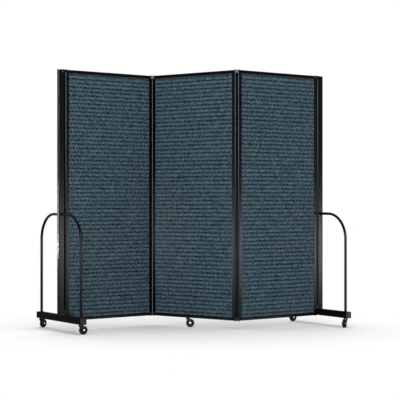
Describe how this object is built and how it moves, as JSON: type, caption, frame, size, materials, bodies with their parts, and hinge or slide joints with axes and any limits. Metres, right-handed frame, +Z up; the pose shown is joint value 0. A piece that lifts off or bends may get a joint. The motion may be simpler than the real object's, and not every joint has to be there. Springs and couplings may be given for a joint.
{
  "type": "ward privacy screen",
  "caption": "Folding privacy screen: fabric-faced panels on two-pin hinges between wheeled end frames with arched tubes; it rolls, zigzags and folds flat.",
  "frame": {"origin": "on the floor, at the middle of the footprint, under the centre of the middle panel", "axes": "+X along the row of panels, left to right as seen from the front; +Y to the back; +Z up; the front is -Y"},
  "size_m": [1.8854, 0.8452, 1.5283],
  "materials": {
    "frame_paint": "satin",
    "hinge_paint": "satin",
    "castor_plastic": "fine grain",
    "castor_tyre": "matte",
    "bright_steel": "turned",
    "fabric": "woven, slate blue"
  },
  "bodies": {
    "middle_panel": {"middle_panel_top_rail": "frame_paint", "middle_panel_bottom_rail": "frame_paint", "middle_panel_left_stile": "frame_paint", "middle_panel_right_stile": "frame_paint", "middle_panel_front_board": "fabric", "middle_panel_rear_board": "fabric", "middle_castor_socket": "bright_steel"},
    "left_hinge": {"left_hinge_top_link": "hinge_paint", "left_hinge_bottom_link": "hinge_paint", "left_hinge_left_pin": "hinge_paint", "left_hinge_right_pin": "hinge_paint"},
    "left_panel": {"left_panel_top_rail": "frame_paint", "left_panel_bottom_rail": "frame_paint", "left_panel_left_stile": "frame_paint", "left_panel_right_stile": "frame_paint", "left_panel_front_board": "fabric", "left_panel_rear_board": "fabric"},
    "left_end_hinge": {"left_end_hinge_top_link": "hinge_paint", "left_end_hinge_bottom_link": "hinge_paint", "left_end_hinge_left_pin": "hinge_paint", "left_end_hinge_right_pin": "hinge_paint"},
    "left_end_frame": {"left_end_post": "frame_paint", "left_end_base_bar": "frame_paint", "left_end_arch_tube": "frame_paint", "left_end_front_cap": "castor_plastic", "left_end_rear_cap": "castor_plastic"},
    "right_hinge": {"right_hinge_top_link": "hinge_paint", "right_hinge_bottom_link": "hinge_paint", "right_hinge_left_pin": "hinge_paint", "right_hinge_right_pin": "hinge_paint"},
    "right_panel": {"right_panel_top_rail": "frame_paint", "right_panel_bottom_rail": "frame_paint", "right_panel_left_stile": "frame_paint", "right_panel_right_stile": "frame_paint", "right_panel_front_board": "fabric", "right_panel_rear_board": "fabric"},
    "right_end_hinge": {"right_end_hinge_top_link": "hinge_paint", "right_end_hinge_bottom_link": "hinge_paint", "right_end_hinge_left_pin": "hinge_paint", "right_end_hinge_right_pin": "hinge_paint"},
    "right_end_frame": {"right_end_post": "frame_paint", "right_end_base_bar": "frame_paint", "right_end_arch_tube": "frame_paint", "right_end_front_cap": "castor_plastic", "right_end_rear_cap": "castor_plastic"},
    "left_front_castor": {"left_front_castor_fork": "castor_plastic", "left_front_castor_axle": "bright_steel"},
    "left_front_wheel": {"left_front_castor_wheel": "castor_tyre"},
    "left_rear_castor": {"left_rear_castor_fork": "castor_plastic", "left_rear_castor_axle": "bright_steel"},
    "left_rear_wheel": {"left_rear_castor_wheel": "castor_tyre"},
    "middle_castor": {"middle_castor_fork": "castor_plastic", "middle_castor_axle": "bright_steel"},
    "middle_wheel": {"middle_castor_wheel": "castor_tyre"},
    "right_front_castor": {"right_front_castor_fork": "castor_plastic", "right_front_castor_axle": "bright_steel"},
    "right_front_wheel": {"right_front_castor_wheel": "castor_tyre"},
    "right_rear_castor": {"right_rear_castor_fork": "castor_plastic", "right_rear_castor_axle": "bright_steel"},
    "right_rear_wheel": {"right_rear_castor_wheel": "castor_tyre"}
  },
  "joints": [
    {"name": "left_hinge_inner", "type": "hinge", "parent": "middle_panel", "child": "left_hinge", "pos_m": [-0.24394, 0.16766, 0.79], "axis": [0, 0, 1], "range_deg": [-124.5, 55.5]},
    {"name": "left_hinge_outer", "type": "hinge", "parent": "left_hinge", "child": "left_panel", "pos_m": [-0.26394, 0.16766, 0.79], "axis": [0, 0, 1], "range_deg": [-125.5, 54.5]},
    {"name": "left_end_hinge_inner", "type": "hinge", "parent": "left_panel", "child": "left_end_hinge", "pos_m": [-0.7459, -0.17612, 0.79], "axis": [0, 0, -1], "range_deg": [-90, 90]},
    {"name": "left_end_hinge_outer", "type": "hinge", "parent": "left_end_hinge", "child": "left_end_frame", "pos_m": [-0.76218, -0.18773, 0.79], "axis": [0, 0, 1], "range_deg": [-35, 35]},
    {"name": "right_hinge_inner", "type": "hinge", "parent": "middle_panel", "child": "right_hinge", "pos_m": [0.24394, -0.16766, 0.79], "axis": [0, 0, 1], "range_deg": [-124.5, 55.5]},
    {"name": "right_hinge_outer", "type": "hinge", "parent": "right_hinge", "child": "right_panel", "pos_m": [0.26394, -0.16766, 0.79], "axis": [0, 0, 1], "range_deg": [-125.5, 54.5]},
    {"name": "right_end_hinge_inner", "type": "hinge", "parent": "right_panel", "child": "right_end_hinge", "pos_m": [0.7459, 0.17612, 0.79], "axis": [0, 0, -1], "range_deg": [-90, 90]},
    {"name": "right_end_hinge_outer", "type": "hinge", "parent": "right_end_hinge", "child": "right_end_frame", "pos_m": [0.76218, 0.18773, 0.79], "axis": [0, 0, 1], "range_deg": [-35, 35]},
    {"name": "left_front_swivel", "type": "hinge", "parent": "left_end_frame", "child": "left_front_castor", "pos_m": [-0.63613, -0.38771, 0.057], "axis": [0, 0, 1], "continuous": true},
    {"name": "left_front_roll", "type": "hinge", "parent": "left_front_castor", "child": "left_front_wheel", "pos_m": [-0.62425, -0.38029, 0.025], "axis": [-0.5299, 0.848, 0], "continuous": true},
    {"name": "left_rear_swivel", "type": "hinge", "parent": "left_end_frame", "child": "left_rear_castor", "pos_m": [-0.91022, -0.00344, 0.057], "axis": [0, 0, 1], "continuous": true},
    {"name": "left_rear_roll", "type": "hinge", "parent": "left_rear_castor", "child": "left_rear_wheel", "pos_m": [-0.90219, 0.00803, 0.025], "axis": [-0.8192, 0.5736, 0], "continuous": true},
    {"name": "middle_swivel", "type": "hinge", "parent": "middle_panel", "child": "middle_castor", "pos_m": [-0.03511, 0.02413, 0.057], "axis": [0, 0, 1], "continuous": true},
    {"name": "middle_roll", "type": "hinge", "parent": "middle_castor", "child": "middle_wheel", "pos_m": [-0.02114, 0.0251, 0.025], "axis": [-0.0698, 0.9976, 0], "continuous": true},
    {"name": "right_front_swivel", "type": "hinge", "parent": "right_end_frame", "child": "right_front_castor", "pos_m": [0.91022, 0.00344, 0.057], "axis": [0, 0, 1], "continuous": true},
    {"name": "right_front_roll", "type": "hinge", "parent": "right_front_castor", "child": "right_front_wheel", "pos_m": [0.9028, -0.00843, 0.025], "axis": [0.848, -0.5299, 0], "continuous": true},
    {"name": "right_rear_swivel", "type": "hinge", "parent": "right_end_frame", "child": "right_rear_castor", "pos_m": [0.63613, 0.38771, 0.057], "axis": [0, 0, 1], "continuous": true},
    {"name": "right_rear_roll", "type": "hinge", "parent": "right_rear_castor", "child": "right_rear_wheel", "pos_m": [0.624, 0.38071, 0.025], "axis": [0.5, -0.866, 0], "continuous": true}
  ]
}
